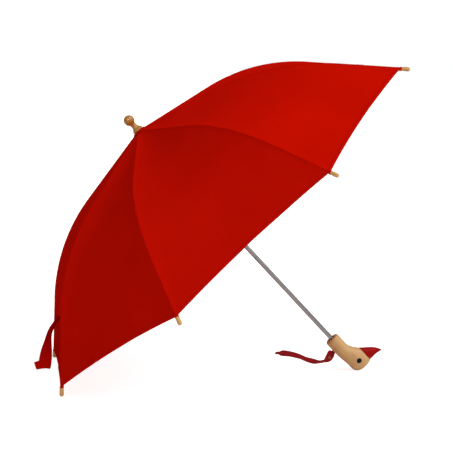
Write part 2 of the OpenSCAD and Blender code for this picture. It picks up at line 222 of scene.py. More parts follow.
class Nodes:
    """Short calls for building one material's nodes."""

    def __init__(self, m):
        self.tree = m.node_tree
        self.shader = self.tree.nodes["Principled BSDF"]

    def link(self, a, b):
        self.tree.links.new(a, b)

    def own(self, scale):
        """Coordinates in the umbrella's own frame, scaled."""
        place = self.tree.nodes.new("ShaderNodeTexCoord")
        mapping = self.tree.nodes.new("ShaderNodeMapping")
        mapping.inputs["Rotation"].default_value = (0, math.pi / 2 - TILT, 0)
        stretch = self.tree.nodes.new("ShaderNodeMapping")
        stretch.inputs["Scale"].default_value = scale
        self.link(place.outputs["Object"], mapping.inputs["Vector"])
        self.link(mapping.outputs["Vector"], stretch.inputs["Vector"])
        return stretch.outputs["Vector"]

    def noise(self, scale, detail, stretch=(1, 1, 1), roughness=0.5):
        n = self.tree.nodes.new("ShaderNodeTexNoise")
        n.inputs["Scale"].default_value = scale
        n.inputs["Detail"].default_value = detail
        n.inputs["Roughness"].default_value = roughness
        self.link(self.own(stretch), n.inputs["Vector"])
        return n.outputs["Fac"]

    def ramp(self, value, *stops):
        n = self.tree.nodes.new("ShaderNodeValToRGB")
        while len(n.color_ramp.elements) < len(stops):
            n.color_ramp.elements.new(0.5)
        for element, (place, colour) in zip(n.color_ramp.elements, stops):
            element.position = place
            element.color = (*colour, 1)
        self.link(value, n.inputs["Fac"])
        return n.outputs["Color"]

    def math(self, kind, a, b=None, c=None):
        n = self.tree.nodes.new("ShaderNodeMath")
        n.operation = kind
        for i, x in enumerate((a, b, c)):
            if x is None:
                continue
            if isinstance(x, (int, float)):
                n.inputs[i].default_value = x
            else:
                self.link(x, n.inputs[i])
        return n.outputs["Value"]

    def wave(self, distance, repeat):
        """A sine that repeats along a distance."""
        return self.math("SINE", self.math("MULTIPLY", distance, math.tau / repeat))

    def mix(self, factor, under, over):
        """A fixed colour laid over another by a factor."""
        n = self.tree.nodes.new("ShaderNodeMix")
        n.data_type = "RGBA"
        self.link(factor, n.inputs[0])
        self.link(under, n.inputs[6])
        n.inputs[7].default_value = (*over, 1)
        return n.outputs[2]

    def panel(self):
        """Place across and along the weave, as stored by mark_panel."""
        n = self.tree.nodes.new("ShaderNodeAttribute")
        n.attribute_name = "panel"
        split = self.tree.nodes.new("ShaderNodeSeparateXYZ")
        self.link(n.outputs["Vector"], split.inputs["Vector"])
        return split.outputs["X"], split.outputs["Y"]

    def colour(self, value):
        self.link(value, self.shader.inputs["Base Color"])

    def rough(self, value, low, high):
        n = self.tree.nodes.new("ShaderNodeMapRange")
        n.inputs["To Min"].default_value = low
        n.inputs["To Max"].default_value = high
        self.link(value, n.inputs["Value"])
        self.link(n.outputs["Result"], self.shader.inputs["Roughness"])

    def bump(self, height, distance, strength):
        n = self.tree.nodes.new("ShaderNodeBump")
        n.inputs["Distance"].default_value = distance
        n.inputs["Strength"].default_value = strength
        self.link(height, n.inputs["Height"])
        before = self.shader.inputs["Normal"].links
        if before:
            self.link(before[0].from_socket, n.inputs["Normal"])
        self.link(n.outputs["Normal"], self.shader.inputs["Normal"])


YARN = 0.0007               # repeat of the weave
CORD = 0.0011               # repeat of a ribbon's cords
STITCH = 0.0026             # repeat of the stitches
THREAD_HALF = 0.0003        # half the width of a row of stitches
SEAM_STITCH = 0.0021        # from the middle of a seam to its stitches
HEM_STITCH = 0.0062         # from the edge of the hem to its stitches


def dashes(n, distance):
    """1 on a stitch and 0 between two stitches."""
    return n.math("GREATER_THAN", n.wave(distance, STITCH), -0.3)


def cloth_material(name, light, dark, stitched):
    """Plain-woven cloth. On a panel, across runs from the rib's seam and along from the hem."""
    m = new_material(name, light, 0.72, Sheen_Weight=0.02, Sheen_Roughness=0.4, Specular_IOR_Level=0.0)
    m.node_tree.nodes["Principled BSDF"].inputs["Sheen Tint"].default_value = (1.0, 0.05, 0.03, 1)
    n = Nodes(m)
    across, along = n.panel()
    warp = n.wave(across, YARN)
    weft = n.wave(along, YARN)
    weave = n.math("MULTIPLY", warp, weft)
    slub = n.noise(260, 4)
    broad = n.noise(9, 2)
    tone = n.math("ADD", n.math("MULTIPLY", slub, 0.35), n.math("MULTIPLY", broad, 0.65))
    colour = n.ramp(tone, (0.30, dark), (0.70, light))
    if stitched:
        beside = n.math("ABSOLUTE", across)
        seam = n.math("MULTIPLY", n.math("COMPARE", beside, SEAM_STITCH, THREAD_HALF), dashes(n, along))
        hem = n.math("MULTIPLY", n.math("COMPARE", along, HEM_STITCH, THREAD_HALF), dashes(n, across))
        thread = n.math("MAXIMUM", seam, hem)
        colour = n.mix(n.math("MULTIPLY", thread, 0.6), colour, tuple(0.55 * c for c in dark))
        n.bump(thread, 0.00025, 0.7)
    n.colour(colour)
    n.rough(slub, 0.62, 0.82)
    n.bump(weave, 0.00006, 0.5)
    n.bump(n.noise(45, 3), 0.0006, 0.25)
    return m


def wood_material(name, light, dark, fleck, roughness, coat, gloss=0.22):
    """Wood with its grain along the shaft and short dark flecks."""
    m = new_material(
        name, light, roughness, Coat_Weight=coat, Coat_Roughness=gloss, Specular_IOR_Level=0.25)
    n = Nodes(m)
    grain = n.noise(330, 5, (1.0, 1.0, 0.055), 0.62)
    rings = n.noise(60, 3, (1.0, 0.45, 0.10))
    tone = n.math("ADD", n.math("MULTIPLY", grain, 0.55), n.math("MULTIPLY", rings, 0.45))
    middle = tuple(0.5 * (a + b) for a, b in zip(light, dark))
    colour = n.ramp(tone, (0.36, dark), (0.52, middle), (0.66, light))
    rays = n.noise(900, 1, (1.0, 1.0, 0.22))
    ray = n.math("MULTIPLY", n.math("GREATER_THAN", rays, 0.66), 0.55)
    colour = n.mix(ray, colour, fleck)
    n.colour(colour)
    n.rough(grain, roughness - 0.06, roughness + 0.1)
    n.bump(grain, 0.00012, 0.35)
    return m


def steel_material(name, colour, roughness, streak):
    """Plated steel with fine drawn lines along the shaft."""
    m = new_material(name, colour, roughness, Metallic=1.0)
    n = Nodes(m)
    lines = n.noise(900, 3, (1.0, 1.0, streak))
    cloud = n.noise(40, 2)
    n.colour(n.ramp(cloud, (0.3, tuple(0.92 * c for c in colour)), (0.7, colour)))
    n.rough(lines, roughness * 0.8, roughness * 1.25)
    n.bump(lines, 0.000004, 0.2)
    return m


def plastic_material(name, colour, roughness):
    """Moulded plastic with a fine grit."""
    m = new_material(name, colour, roughness, Specular_IOR_Level=0.5)
    n = Nodes(m)
    grit = n.noise(1400, 2)
    cloud = n.noise(70, 3)
    n.colour(n.ramp(cloud, (0.3, tuple(0.8 * c for c in colour)), (0.7, tuple(1.15 * c for c in colour))))
    n.rough(cloud, roughness - 0.07, roughness + 0.1)
    n.bump(grit, 0.00003, 0.4)
    return m


def enamel_material(name, colour, roughness, coat):
    """Brushed-on enamel over wood, with the brush marks just showing."""
    m = new_material(
        name, colour, roughness, Coat_Weight=coat, Coat_Roughness=0.15, Specular_IOR_Level=0.10)
    n = Nodes(m)
    marks = n.noise(240, 3, (0.3, 1.0, 1.0))
    cloud = n.noise(60, 2)
    n.colour(n.ramp(cloud, (0.3, tuple(0.78 * c for c in colour)), (0.7, colour)))
    n.rough(marks, roughness - 0.05, roughness + 0.08)
    n.bump(marks, 0.00010, 0.4)
    return m


def ribbon_material(name, light, dark):
    """Grosgrain ribbon, with fine cords across its length."""
    m = new_material(name, light, 0.6, Sheen_Weight=0.08, Sheen_Roughness=0.4, Specular_IOR_Level=0.15)
    n = Nodes(m)
    across, along = n.panel()
    cords = n.wave(along, CORD)
    warp = n.wave(across, YARN)
    fuzz = n.noise(500, 3)
    n.colour(n.ramp(n.math("ADD", n.math("MULTIPLY", cords, 0.12), fuzz), (0.3, dark), (0.65, light)))
    n.rough(fuzz, 0.5, 0.72)
    n.bump(cords, 0.00012, 0.6)
    n.bump(warp, 0.00004, 0.4)
    return m


CLOTH = cloth_material("canopy_cloth", (0.68, 0.0060, 0.0005), (0.61, 0.0050, 0.0004), True)
# the closing strap's cloth: the canopy's red cloth painted lighter, as painted light to make up for the
# shade the strap hangs in
TIE_CLOTH_PAINTED_LIGHT = cloth_material("tie_cloth_painted_light", (0.90, 0.0090, 0.0012), (0.78, 0.007, 0.001), False)
RIBBON = ribbon_material("ribbon", (0.42, 0.008, 0.010), (0.27, 0.004, 0.006))
BEECH = wood_material("beech", (0.76, 0.485, 0.212), (0.59, 0.340, 0.128), (0.45, 0.23, 0.075), 0.46, 0.12)
AMBER = wood_material(
    "amber_wood", (0.72, 0.315, 0.030), (0.46, 0.180, 0.018), (0.30, 0.105, 0.012), 0.34, 0.9, 0.10)
TIP_WOOD = wood_material("tip_wood", (0.88, 0.47, 0.16), (0.70, 0.345, 0.10), (0.50, 0.22, 0.06), 0.42, 0.15)
STEEL = steel_material("steel", (0.60, 0.59, 0.58), 0.26, 0.01)
TUBE_STEEL = steel_material("tube_steel", (0.43, 0.415, 0.40), 0.20, 0.01)
DARK_STEEL = steel_material("dark_steel", (0.23, 0.23, 0.24), 0.34, 0.3)
BLACK_PLASTIC = plastic_material("black_plastic", (0.030, 0.030, 0.032), 0.42)
RED_PAINT = enamel_material("red_paint", (0.42, 0.0025, 0.003), 0.50, 0.0)
BLACK_EYE = enamel_material("black_eye", (0.005, 0.003, 0.003), 0.20, 0.25)
BRONZE = steel_material("bronze", (0.36, 0.20, 0.09), 0.36, 0.3)


# ---- ribbons ----
def bezier(p, t):
    """A point of the cubic curve with the four control points p."""
    return [
        (1 - t) ** 3 * a + 3 * (1 - t) ** 2 * t * b + 3 * (1 - t) * t * t * c + t ** 3 * d
        for a, b, c, d in zip(*p)
    ]


# section of a band, in halves of its width and of its thickness
BAND_SECTION = (
    (-1, -0.3), (-0.86, -1), (-0.5, -1), (0, -1), (0.5, -1), (0.86, -1), (1, -0.3),
    (1, 0.3), (0.86, 1), (0.5, 1), (0, 1), (-0.5, 1), (-0.86, 1), (-1, 0.3))


def ribbon(name, centres, wides, width, thick, finish, body):
    """A flat band along centres; wides are the directions of its width, one for each centre."""
    n = len(centres)
    points, marks = [], []
    length = 0.0
    for i, c in enumerate(centres):
        ahead = (centres[min(i + 1, n - 1)] - centres[max(i - 1, 0)]).normalized()
        wide = (wides[i] - ahead * wides[i].dot(ahead)).normalized()
        flat = ahead.cross(wide).normalized()
        length += (c - centres[i - 1]).length if i else 0.0
        for a, b in BAND_SECTION:
            points.append(c + wide * (a * width / 2) + flat * (b * thick / 2))
            marks.append((a * width / 2, length, 0))
    obj = add_piece(name, points, tube_faces(n, len(BAND_SECTION)), finish, body)
    mark_panel(obj, marks)
    sharpen(obj, 50)
    return obj


# the wrist strap: one ribbon that leaves the back of the neck, turns round and goes back in
STRAP_W = 0.0095
STRAP_T = 0.0009
STRAP_A = ((-0.056, 0.041), (-0.057, 0.031), (-0.062, 0.020), (-0.080, 0.019))
STRAP_B = ((-0.080, 0.019), (-0.104, 0.018), (-0.128, 0.040), (-0.172, 0.039))
STRAP_ROOT = 0.30           # share of the route that lies in the first curve
STRAP_LIE = 9               # degrees that the band is turned about its length
STRAP_TWIST = 45            # degrees more at the bend
STRAP_END = 54              # and at the far end
STRAP_GAP = 0.0007          # from the middle to each run, at the neck
STRAP_OPEN = 0.0026         # how much that grows along the route
STRAP_SHUT = 0.0023         # and shrinks again at the far end
STRAP_NEAR = 0.0043         # sideways from the middle to each run, near the neck
STRAP_FAR = 0.0026          # and near the far end
STRAP_LEAN = math.radians(24)  # how far the back run leans off the front one
EYELET_AT = 0.13            # share of the route at which the eyelet sits
EYELET_R = 0.0023
EYELET_ROLL = 0.0009        # half the width of its rolled edge


def strap_centre(t):
    """Middle of the doubled strap, t from the neck to the far end, and its heading, in the XZ plane."""
    p, q = (STRAP_A, t / STRAP_ROOT) if t < STRAP_ROOT else (STRAP_B, (t - STRAP_ROOT) / (1 - STRAP_ROOT))
    here, ahead, behind = (bezier(p, min(max(q + d, 0), 1)) for d in (0, 0.01, -0.01))
    heading = Vector((ahead[0] - behind[0], 0, ahead[1] - behind[1])).normalized()
    return Vector((here[0], 0, here[1])), heading


def strap_run(t, side):
    """Centre and width direction of one run; side is -1 for the front run and 1 for the back one."""
    c, heading = strap_centre(t)
    level = Vector((-heading.z, 0, heading.x))
    bend = smooth(1 - abs(t - 0.31) / 0.17)
    end = smooth((t - 0.92) / 0.08)
    twist = math.radians(STRAP_LIE + STRAP_TWIST * bend + STRAP_END * end)
    wide = level * math.cos(twist) + ACROSS * math.sin(twist)
    flat = ACROSS * math.cos(twist) - level * math.sin(twist)
    gap = STRAP_GAP + STRAP_OPEN * smooth((t - 0.22) / 0.33) - STRAP_SHUT * smooth((t - 0.8) / 0.2)
    near = STRAP_NEAR * smooth(t / 0.05) * smooth((0.28 - t) / 0.15)
    far = STRAP_FAR * smooth((t - 0.50) / 0.3) * smooth((1.0 - t) / 0.10)
    middle = c + side * (flat * gap + wide * (near + far))
    if side > 0:
        lean = STRAP_LEAN * smooth((t - 0.42) / 0.16) * smooth((0.93 - t) / 0.14)
        wide = wide * math.cos(lean) + flat * math.sin(lean)
    return middle, wide


def make_wrist_strap():
    """Both runs and the turn between them, in one ribbon."""
    centres, wides = [], []
    steps = 46
    for i in range(steps + 1):
        c, w = strap_run(i / steps, -1)
        centres.append(c)
        wides.append(w)
    front, wide = strap_run(1, -1)
    back, _ = strap_run(1, 1)
    _, heading = strap_centre(1)
    radius = (back - front).length / 2
    middle = (front + back) / 2
    for i in range(1, 8):
        a = math.pi * i / 8
        centres.append(middle + (front - middle) * math.cos(a) + heading * (radius * math.sin(a)))
        wides.append(wide)
    for i in range(steps, -1, -1):
        c, w = strap_run(i / steps, 1)
        centres.append(c)
        wides.append(w)
    obj = ribbon("wrist_strap_ribbon", centres, wides, STRAP_W, STRAP_T, RIBBON, "shaft")
    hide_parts("wrist_strap")
    return obj, centres


def make_strap_eyelet():
    """A rolled bronze eyelet that holds the two runs together near the neck."""
    front, wide = strap_run(EYELET_AT, -1)
    back, _ = strap_run(EYELET_AT, 1)
    _, heading = strap_centre(EYELET_AT)
    flat = heading.cross(wide).normalized()
    if flat.dot(front - back) < 0:
        flat = -flat
    middle = (front + back) / 2
    deep = abs((front - back).dot(flat)) / 2 + STRAP_T / 2
    ring = []
    for sign in (-1, 1):
        for s in range(7):
            a = math.pi * s / 6
            r = EYELET_R - sign * EYELET_ROLL * math.cos(a)
            ring.append((r, sign * (deep + 0.0007 * math.sin(a))))
    place = flat.to_track_quat("Z", "Y").to_matrix().to_4x4()
    place.translation = middle
    sides = 32
    points = ring_points(ring, place, sides)
    obj = add_piece("strap_eyelet_ring", points, loop_faces(len(ring), sides), BRONZE, "shaft")
    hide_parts("strap_eyelet")
    return obj


wrist_strap, strap_path = make_wrist_strap()
strap_eyelet = make_strap_eyelet()


# ---- canopy ----
def line_constants():
    """Lengths of the cloth's two straight stretches over a rib, and the centre of its bend."""
    bx = BEND_R * (math.sin(SLOPE_HEM) - math.sin(SLOPE_TOP))
    by = BEND_R * (math.cos(SLOPE_TOP) - math.cos(SLOPE_HEM))
    det = math.cos(SLOPE_TOP) * math.sin(SLOPE_HEM) - math.cos(SLOPE_HEM) * math.sin(SLOPE_TOP)
    rx, ry = CANOPY_R - bx, CANOPY_DROP - by
    first = (rx * math.sin(SLOPE_HEM) - ry * math.cos(SLOPE_HEM)) / det
    last = (ry * math.cos(SLOPE_TOP) - rx * math.sin(SLOPE_TOP)) / det
    centre = (first * math.cos(SLOPE_TOP) - BEND_R * math.sin(SLOPE_TOP),
              -first * math.sin(SLOPE_TOP) - BEND_R * math.cos(SLOPE_TOP))
    return first, last, centre


FIRST, LAST, BEND_AT = line_constants()
ARC = BEND_R * (SLOPE_HEM - SLOPE_TOP)
CLOTH_L = FIRST + ARC + LAST  # length of cloth from the axis to a corner
FLEX_S = FIRST + BEND_R * (FLEX_AT - SLOPE_TOP)
CROWN_S = CROWN_R / math.cos(SLOPE_TOP)
CLOTH_T = 0.00035
HEM_T = 0.0010              # thickness of the folded hem
HEM_W = 0.0075              # width of the folded hem
SCALLOP = 0.0085            # how far the hem's middle lies above its corners
SAG = 0.0100                # how far a panel is pulled in between its ribs, at its deepest
HEM_SAG = 0.0015            # and at the hem
CROWN_EASE = 0.06           # length over which that pull sets in
SLACK = 0.0011              # height of the broad waves in the cloth
RIPPLE = 0.0004             # and of the fine ones
SEAM_HALF = 0.0018          # half the width of the raised seam over a rib
SEAM_FOOT = 0.0026          # from the middle of a seam to the flat cloth beside it
SEAM_LIFT = 0.00025         # how far a seam stands up
HEM_LIFT = 0.0003           # and the hem
HEM_DROP = 0.00025          # how far the hem's very edge is rounded down
HEM_ROUND = 0.0006          # width of that rounding
HEM_STEP = 0.0008           # width of the step up to the hem
EDGE_ROW = 0.0012           # width of the narrow rows at the ends of a grid


def cloth_line(s):
    """Distance from the axis and height of the cloth over a rib, s along it from the axis."""
    if s < FIRST:
        return s * math.cos(SLOPE_TOP), -s * math.sin(SLOPE_TOP)
    a = min(SLOPE_TOP + (s - FIRST) / BEND_R, SLOPE_HEM)
    d = max(s - FIRST - ARC, 0)
    return (BEND_AT[0] + BEND_R * math.sin(a) + d * math.cos(a),
            BEND_AT[1] + BEND_R * math.cos(a) - d * math.sin(a))


def panel_flat(k, side, s, w):
    """A point of the straight line across a panel: w is 0 on rib k and 1 in the middle of the panel."""
    r, z = cloth_line(s)
    a = rib_azimuth(k)
    m = a + side * HALF
    rib = Vector((r * math.cos(a), r * math.sin(a), z))
    middle = Vector((r * math.cos(HALF) * math.cos(m), r * math.cos(HALF) * math.sin(m), z))
    return rib.lerp(middle, w)


def panel_normal(k, side, s, w):
    """Outward direction of the flat panel at a point."""
    ds = panel_flat(k, side, s + 0.001, w) - panel_flat(k, side, s - 0.001, w)
    dw = panel_flat(k, side, s, 1) - panel_flat(k, side, s, 0)
    return (ds.cross(dw) * side).normalized()


def panel_point(k, side, s, w, lift):
    """The cloth itself: pulled in between the ribs, with faint slack that dies out at the ribs."""
    bow = 1 - (1 - w) ** 2
    base = panel_flat(k, side, s, w)
    share = s / CLOTH_L
    sag = SAG * math.sin(math.pi * min(share ** 0.8, 1)) * smooth(s / CROWN_EASE) + HEM_SAG * share ** 1.5
    slack = SLACK * share * noise.noise(base * 16) + RIPPLE * share * noise.noise(base * 44)
    return base + panel_normal(k, side, s, w) * (lift - sag * bow + slack * bow)


def spread(a, b, step):
    """Places from a to b, a step apart, with a narrow row at each end so that shading runs on."""
    n = max(2, round((b - a) / step))
    inner = [a + EDGE_ROW + (b - a - 2 * EDGE_ROW) * i / n for i in range(n + 1)]
    return [a, *inner, b]


def sheet_faces(n, m):
    """Faces of a thin closed sheet: a grid of n rows by m columns, the same grid below, and a rim."""
    count = n * m
    faces = []
    for i in range(n - 1):
        for j in range(m - 1):
            a = i * m + j
            quad = (a, a + m, a + m + 1, a + 1)
            faces.append(quad)
            faces.append(tuple(count + x for x in reversed(quad)))
    rim = [*range(m), *(i * m + m - 1 for i in range(1, n))]
    rim += [(n - 1) * m + j for j in range(m - 2, -1, -1)] + [i * m for i in range(n - 2, 0, -1)]
    for a, b in zip(rim, rim[1:] + rim[:1]):
        faces.append((a, b, count + b, count + a))
    return faces


def half_panel(k, side, part):
    """Half a panel beside rib k, as a thin closed sheet; inner is the part above the rib's joint."""
    if part == "inner":
        rows = spread(CROWN_S, FLEX_S, 0.011)
    else:
        rows = spread(FLEX_S, CLOTH_L - HEM_W - HEM_STEP, 0.010)
        rows += [CLOTH_L - HEM_W, CLOTH_L - HEM_W / 2, CLOTH_L - HEM_ROUND, CLOTH_L]
    columns = 15
    top, bottom, marks = [], [], []
    for s in rows:
        wide = cloth_line(s)[0] * math.sin(HALF)
        seam = min(SEAM_HALF, 0.4 * wide)
        edge = min(SEAM_FOOT, 0.6 * wide)
        near = 1 - min(EDGE_ROW, 0.1 * wide) / wide
        places = [0, seam / wide, edge / wide]
        places += [edge / wide + (near - edge / wide) * j / columns for j in range(1, columns + 1)] + [1]
        for j, w in enumerate(places):
            bow = 1 - (1 - w) ** 2
            at_s = s
            if part == "outer":
                at_s = FLEX_S + (s - FLEX_S) * (CLOTH_L - SCALLOP * bow - FLEX_S) / (CLOTH_L - FLEX_S)
            in_hem = part == "outer" and s >= CLOTH_L - HEM_W
            lift = SEAM_LIFT if j < 2 else 0.0
            thick = CLOTH_T
            if in_hem:
                lift += HEM_LIFT
                thick = HEM_T if s < CLOTH_L else HEM_T * 0.5
            if s == CLOTH_L:
                lift -= HEM_DROP
            top.append(at_point(panel_point(k, side, at_s, w, lift)))
            bottom.append(at_point(panel_point(k, side, at_s, w, lift - thick)))
            marks.append((side * w * wide, CLOTH_L - s, 0))
    n, m = len(rows), columns + 4
    faces = sheet_faces(n, m)
    if side < 0:
        faces = [face[::-1] for face in faces]
    hand = "left" if side > 0 else "right"
    obj = add_piece(f"canopy_{k}_{hand}_{part}", top + bottom, faces, CLOTH, f"{part}_rib_{k}")
    mark_panel(obj, marks + marks)
    sharpen(obj, 60)
    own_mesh(obj)
    return obj


for rib in RIBS:
    first = half_panel(rib, 1, "inner")
    half_panel(rib, -1, "inner")
    half_panel(rib, 1, "outer")
    half_panel(rib, -1, "outer")
    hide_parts(f"canopy_gore_{rib}")


PATCH_T = 0.0005
PATCH_WAVE = 0.0005         # height of the ruffle at its edge
PATCH_FRAY = 0.0003         # and how far its edge runs in and out


def make_crown_patch():
    """The round cloth patch under the finial, with its edge slightly ruffled."""
    sides = 96
    outline = [(0.0046, 0.0012), (0.0075, 0.0010), (0.0105, 0.0001), (0.0128, -0.0009), (0.0143, -0.0017)]
    points, marks = [], []
    for layer in (0, 1):
        for i, (r, z) in enumerate(outline):
            for j in range(sides):
                a = math.tau * j / sides
                wave = PATCH_WAVE * (i / 4) ** 2 * math.sin(11 * a + 0.8 * math.sin(3 * a))
                rr = r + PATCH_FRAY * (i / 4) * math.sin(24 * a)
                points.append(at(rr * math.cos(a), rr * math.sin(a), z + wave - PATCH_T * layer))
                marks.append((rr * math.cos(a), 0.02 + rr * math.sin(a), 0))
    n = len(outline)
    faces = []
    for i in range(n - 1):
        for j in range(sides):
            a, b = i * sides + j, i * sides + (j + 1) % sides
            quad = (a, a + sides, b + sides, b)
            faces.append(quad)
            faces.append(tuple(n * sides + x for x in reversed(quad)))
    for i, flip in ((0, False), (n - 1, True)):
        for j in range(sides):
            a, b = i * sides + j, i * sides + (j + 1) % sides
            quad = (a, b, b + n * sides, a + n * sides)
            faces.append(quad[::-1] if flip else quad)
    obj = add_piece("crown_patch", points, faces, CLOTH, "shaft")
    mark_panel(obj, marks)
    sharpen(obj, 60)
    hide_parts("crown_cap")


make_crown_patch()

# the closing strap, sewn to the outside of the panel between ribs 4 and 5 and hanging free
TIE_W = 0.027
TIE_T = 0.0011
SNAP_AT = 0.42              # how far along the points of the route the press stud sits
TIE_ROUTE = (
    (-0.613, 0.002, 0.121), (-0.618, 0.001, 0.112), (-0.627, 0.0, 0.0985), (-0.6328, -0.001, 0.084),
    (-0.6366, -0.001, 0.0623), (-0.6388, -0.001, 0.045), (-0.6403, -0.001, 0.031), (-0.642, -0.001, 0.0195),
    (-0.6432, 0.0, 0.0166), (-0.644, 0.002, 0.0156), (-0.6452, 0.004, 0.0168), (-0.6466, 0.005, 0.02),
    (-0.6506, 0.0055, 0.032))


def make_tie_strap():
    """The band, hanging free with its end turned up."""
    centres = [Vector(p) for p in rounded(TIE_ROUTE, 6)]
    wides = []
    for c in centres:
        turn_by = math.radians(62 - 46 * smooth((0.088 - c.z) / 0.060))
        wides.append(Vector((math.cos(turn_by), math.sin(turn_by), 0)))
    obj = ribbon("tie_strap_band", centres, wides, TIE_W, TIE_T, TIE_CLOTH_PAINTED_LIGHT, "outer_rib_4")
    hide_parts("tie_strap")
    return obj, centres, wides


def make_tie_snap(centres, wides):
    """The socket of the press stud, on the inner face of the closing strap."""
    i = int(SNAP_AT * len(centres))
    ahead = (centres[i + 1] - centres[i - 1]).normalized()
    flat = ahead.cross(wides[i]).normalized()
    if flat.y < 0:
        flat = -flat
    place = flat.to_track_quat("Z", "Y").to_matrix().to_4x4()
    place.translation = centres[i]
    face = TIE_T / 2
    outline = [(0.0001, face - 0.0002), (0.0044, face - 0.0002), (0.0043, face + 0.0006),
               (0.0032, face + 0.0012), (0.0026, face + 0.0012), (0.0022, face + 0.0006),
               (0.0001, face + 0.0005)]
    obj = lathe("tie_snap_stud", outline, place, STEEL, "outer_rib_4", 32)
    sharpen(obj, 35)
    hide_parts("tie_snap")
    return obj


tie_strap, tie_centres, tie_wides = make_tie_strap()
tie_snap = make_tie_snap(tie_centres, tie_wides)
for piece in (tie_strap, tie_snap):
    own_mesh(piece)


# ---- shaft tube ----
TUBE_R = 0.0045
BORE_R = 0.0040
TUBE_TOP = 0.0012
TUBE_IN = 0.046             # length of tube glued into the handle
GROOVE_AT = math.radians(-35)
GROOVE_HALF = 0.0012
GROOVE_DEEP = 0.0003
GROOVE_LOW = 0.014 - SHAFT_L
GROOVE_HIGH = -0.176
GROOVE_END = 0.0015         # length of its run-out
CATCH_TOP = 0.006           # height of a catch above its tab
SLOT_L = 0.015              # from the tab down to the end of its slot
SLOT_SPARE = 0.001          # and how far the slot runs up above it
SLOT_FACES = 10             # width of a catch's slot, counted in faces round the tube


def catch_slot(node):
    """Lower and upper end of the slot that a catch stands in."""
    back = OWN.inverted()
    tab = max((back @ v.co).z for v in frame["nodes"][node].data.vertices) - CATCH_TOP
    return tab - SLOT_L, tab + SLOT_SPARE


def make_shaft_tube():
    """A drawn steel tube with a rolled guide groove and a slot for each catch."""
    sides = 128
    slots = [catch_slot("top_catch"), catch_slot("low_catch")]
    levels = {-SHAFT_L - TUBE_IN, TUBE_TOP}
    for low, high in slots:
        levels |= {low, high}
    for end, beyond in ((GROOVE_LOW, -GROOVE_END), (GROOVE_HIGH, GROOVE_END)):
        levels |= {end, end + beyond}
    rows = sorted(levels)
    points = []
    for r in (TUBE_R, BORE_R):
        for z in rows:
            for j in range(sides):
                a = math.tau * j / sides
                d = abs((a - GROOVE_AT + math.pi) % math.tau - math.pi) * TUBE_R
                cut = 0.0
                if r == TUBE_R and GROOVE_LOW <= z <= GROOVE_HIGH and d < GROOVE_HALF:
                    cut = GROOVE_DEEP * math.cos(math.pi / 2 * d / GROOVE_HALF) ** 2
                points.append(at((r - cut) * math.cos(a), (r - cut) * math.sin(a), z))
    count = len(rows) * sides
    first = sides // 4 - SLOT_FACES // 2
    open_cells = set()
    for i in range(len(rows) - 1):
        if any(low <= rows[i] and rows[i + 1] <= high for low, high in slots):
            open_cells |= {(i, j) for j in range(first, first + SLOT_FACES)}
    faces = []
    for i in range(len(rows) - 1):
        for j in range(sides):
            k = (j + 1) % sides
            a, b = i * sides + j, i * sides + k
            c, d = b + sides, a + sides
            if (i, j) not in open_cells:
                faces += [(a, b, c, d), (d + count, c + count, b + count, a + count)]
                continue
            around = (((a, b), (i - 1, j)), ((b, c), (i, k)), ((c, d), (i + 1, j)), ((d, a), (i, j - 1)))
            for (p, q), beside in around:
                if beside not in open_cells:
                    faces.append((q, p, p + count, q + count))
    last = (len(rows) - 1) * sides
    for j in range(sides):
        k = (j + 1) % sides
        faces += [(k, j, j + count, k + count), (last + j, last + k, last + k + count, last + j + count)]
    obj = add_piece("shaft_tube_drawn", points, faces, TUBE_STEEL, "shaft")
    sharpen(obj, 40)
    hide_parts("shaft_tube")


make_shaft_tube()

# ---- finial and rib tips ----
BALL_R = 0.01075
FLANGE_R = 0.0115
WAIST_R = 0.0058
TIP_NOSE_R = 0.0042
CUFF_L = 0.0088             # length of a corner of cloth round its rib tip
CUFF_RISE = 0.0021          # how far its inner end rises to meet the panel


def make_finial():
    """Turned in one piece: a flange that flares on to the cloth, a waist and a ball."""
    ball_z = FINIAL_TOP - BALL_R
    start = math.acos((WAIST_R + 0.0009) / BALL_R)
    foot = 0.0013
    stem = rounded([(FLANGE_R - 0.0006, foot), (FLANGE_R, foot + 0.0007),
                    (FLANGE_R - 0.0002, foot + 0.0019),
                    (FLANGE_R - 0.0018, foot + 0.0035), (WAIST_R + 0.0019, foot + 0.0060),
                    (WAIST_R + 0.0005, foot + 0.0088), (WAIST_R, foot + 0.0126),
                    (WAIST_R + 0.0001, foot + 0.0156), (WAIST_R + 0.0007, foot + 0.0174)], 5)
    ball = [(BALL_R * math.cos(a), ball_z + BALL_R * math.sin(a))
            for a in (-start + (start + math.pi / 2) * i / 26 for i in range(27))]
    ball[-1] = (0.00005, ball[-1][1])
    obj = lathe("finial_turned", [(0.0040, foot)] + stem + ball, OWN, AMBER, "shaft", 64)
    sharpen(obj, 50)
    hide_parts("finial")


def tip_place(k):
    """Where a rib tip starts: z along the end of its rib, x square to the cloth and outwards."""
    a = rib_azimuth(k)
    outward = Vector((math.cos(a), math.sin(a), 0))
    base = outward * (CANOPY_R - RIB_DROP * math.sin(SLOPE_HEM))
    base.z = -CANOPY_DROP - RIB_DROP * math.cos(SLOPE_HEM)
    along = outward * math.cos(SLOPE_HEM) - Vector((0, 0, math.sin(SLOPE_HEM)))
    tangent = Vector((-math.sin(a), math.cos(a), 0))
    place = Matrix((tangent.cross(along), tangent, along)).transposed().to_4x4()
    place.translation = base
    return place


